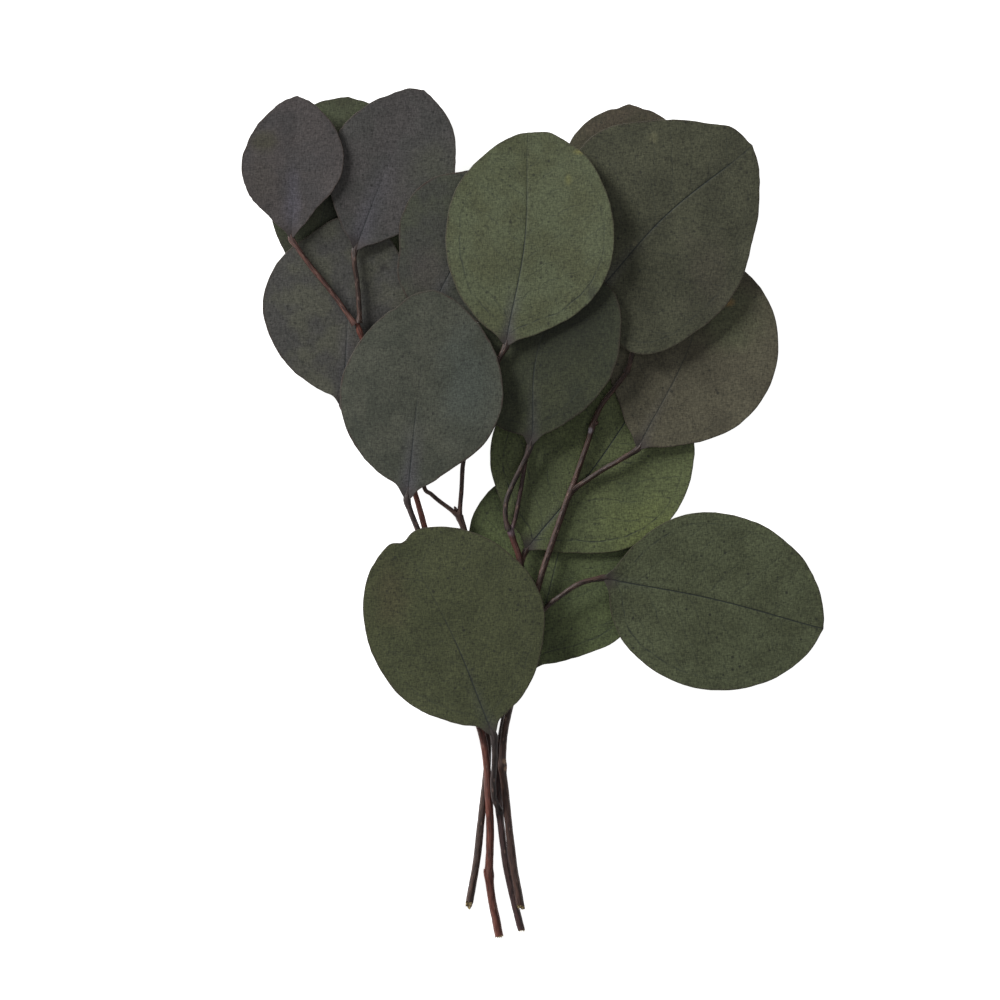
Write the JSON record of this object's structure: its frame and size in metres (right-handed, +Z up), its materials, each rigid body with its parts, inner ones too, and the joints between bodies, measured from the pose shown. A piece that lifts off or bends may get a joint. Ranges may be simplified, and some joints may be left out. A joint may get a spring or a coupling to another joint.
{
  "type": "preserved eucalyptus leaf bunch",
  "caption": "Loose bunch of cut, preserved eucalyptus: woody stems with stalked, round to heart-shaped leaves that overlap and lie flat on a surface.",
  "frame": {"origin": "middle of the whole bunch's box in plan, on the surface that it lies on", "axes": "+Y runs along the bunch from the cut stems to the leaf tips, +Z points up from the surface, +X points right seen from above with the leaf tips at the top"},
  "size_m": [0.1746, 0.2542, 0.0126],
  "materials": {
    "dark_bark": "dry, finely ridged twig bark",
    "red_bark": "dry, finely ridged reddish bark",
    "grey_bark": "dry, finely ridged grey-brown bark",
    "shaded_bark": "dry, finely ridged dark bark",
    "pale_leaf": "matt preserved leaf, pale grey-green",
    "grey_leaf": "matt preserved leaf, grey-green",
    "purple_leaf": "matt preserved leaf, purple-grey",
    "green_leaf": "matt preserved leaf, olive green",
    "brown_leaf": "matt preserved leaf, brown-green",
    "olive_leaf": "matt preserved leaf, grey-olive",
    "bright_leaf": "matt preserved leaf, light olive green"
  },
  "bodies": {
    "root": {"stem_left": "dark_bark", "stem_middle": "red_bark", "stem_right": "grey_bark", "stem_back": "shaded_bark", "leaf_left_behind": "pale_leaf", "leaf_left_low": "grey_leaf", "leaf_top_left": "purple_leaf", "leaf_top_left_small": "purple_leaf", "leaf_middle_behind": "purple_leaf", "leaf_low_behind": "green_leaf", "leaf_right_green": "green_leaf", "leaf_right_brown": "brown_leaf", "leaf_top_right_behind": "brown_leaf", "leaf_top_right_large": "olive_leaf", "leaf_centre_dark": "olive_leaf", "leaf_top_bright": "bright_leaf", "leaf_middle_front": "grey_leaf", "leaf_right_low": "olive_leaf", "leaf_low_front": "olive_leaf"}
  },
  "joints": []
}
